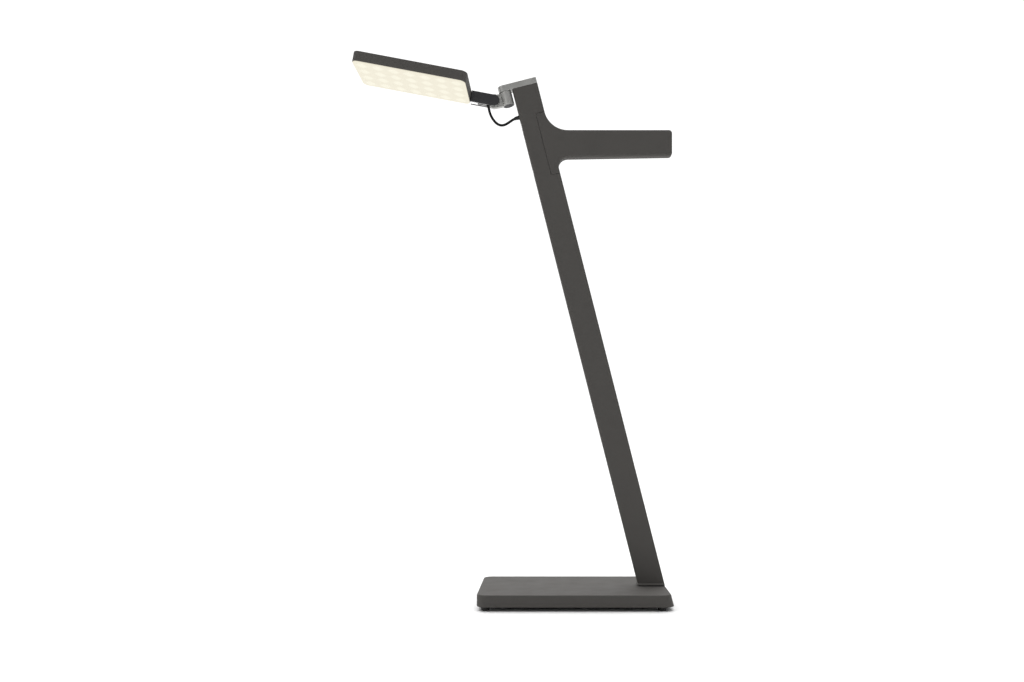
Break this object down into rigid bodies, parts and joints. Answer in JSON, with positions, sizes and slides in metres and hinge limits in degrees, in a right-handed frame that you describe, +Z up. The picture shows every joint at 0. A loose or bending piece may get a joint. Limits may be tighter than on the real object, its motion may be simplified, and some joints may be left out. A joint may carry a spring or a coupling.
{
  "type": "cordless reading lamp",
  "caption": "Cordless reading lamp: a flat head on a swivel and tilt neck, a leaning flat mast with a carrying handle, and a weighted slab base.",
  "frame": {"origin": "on the floor, under the middle of the whole lamp's outline seen from above", "axes": "+X from the light head towards the handle, +Y across the lamp, +Z up"},
  "size_m": [0.3078, 0.11, 0.5263],
  "materials": {
    "lamp_paint": "fine matt powder paint, dark warm grey",
    "neck_metal": "satin, light grey",
    "fork_metal": "satin, silver",
    "black_plastic": "matt, moulded",
    "black_rubber": "soft, matt",
    "cable_jacket": "smooth, matt",
    "lens_plastic": "frosted, warm white, with a lens grid",
    "steel": "bright",
    "aluminium": "machined",
    "board": "green solder mask",
    "white_board": "white solder mask",
    "led": "phosphor yellow",
    "battery_wrap": "foil pouch",
    "copper": "copper film"
  },
  "bodies": {
    "lamp_stand": {"base_cover": "lamp_paint", "ballast_plate": "steel", "base_bottom_plate": "black_plastic", "base_screws": "steel", "feet": "black_rubber", "foot_gasket": "black_rubber", "mast_collar": "lamp_paint", "mast_bolts": "steel", "mast_tube": "lamp_paint", "mast_foot_plug": "aluminium", "mast_head_plug": "aluminium", "mast_insert": "aluminium", "mast_wires": "cable_jacket", "cable_boot": "black_rubber", "handle_shell": "lamp_paint", "handle_screws": "steel", "battery_pack": "battery_wrap", "charge_board": "board", "charge_port": "steel", "cap_arm": "neck_metal", "cap_screws": "steel", "swivel_pin": "steel", "thrust_washer": "black_plastic", "spring_washer": "steel", "swivel_screw": "steel", "lamp_cable": "cable_jacket"},
    "swivel_knuckle": {"knuckle": "neck_metal", "barrel_end_cap": "black_plastic", "cable_gland": "black_rubber"},
    "lamp_head": {"arm_fork": "fork_metal", "arm_cover_near": "black_plastic", "arm_cover_far": "black_plastic", "tilt_pin": "steel", "tilt_washers": "black_plastic", "arm_screws": "steel", "head_housing": "lamp_paint", "heat_spreader": "aluminium", "led_board": "white_board", "leds": "led", "lens_plate": "lens_plastic", "driver_board": "board", "touch_sensor": "copper", "head_screws": "steel"}
  },
  "joints": [
    {"name": "head_swivel", "type": "hinge", "parent": "lamp_stand", "child": "swivel_knuckle", "pos_m": [-0.00992, 0, 0.49972], "axis": [-0.2462, 0, 0.9692], "range_deg": [-90, 90], "deforming": ["lamp_cable"]},
    {"name": "head_tilt", "type": "hinge", "parent": "swivel_knuckle", "child": "lamp_head", "pos_m": [-0.02281, 0, 0.49727], "axis": [0, 1, 0], "range_deg": [-45, 60]}
  ]
}
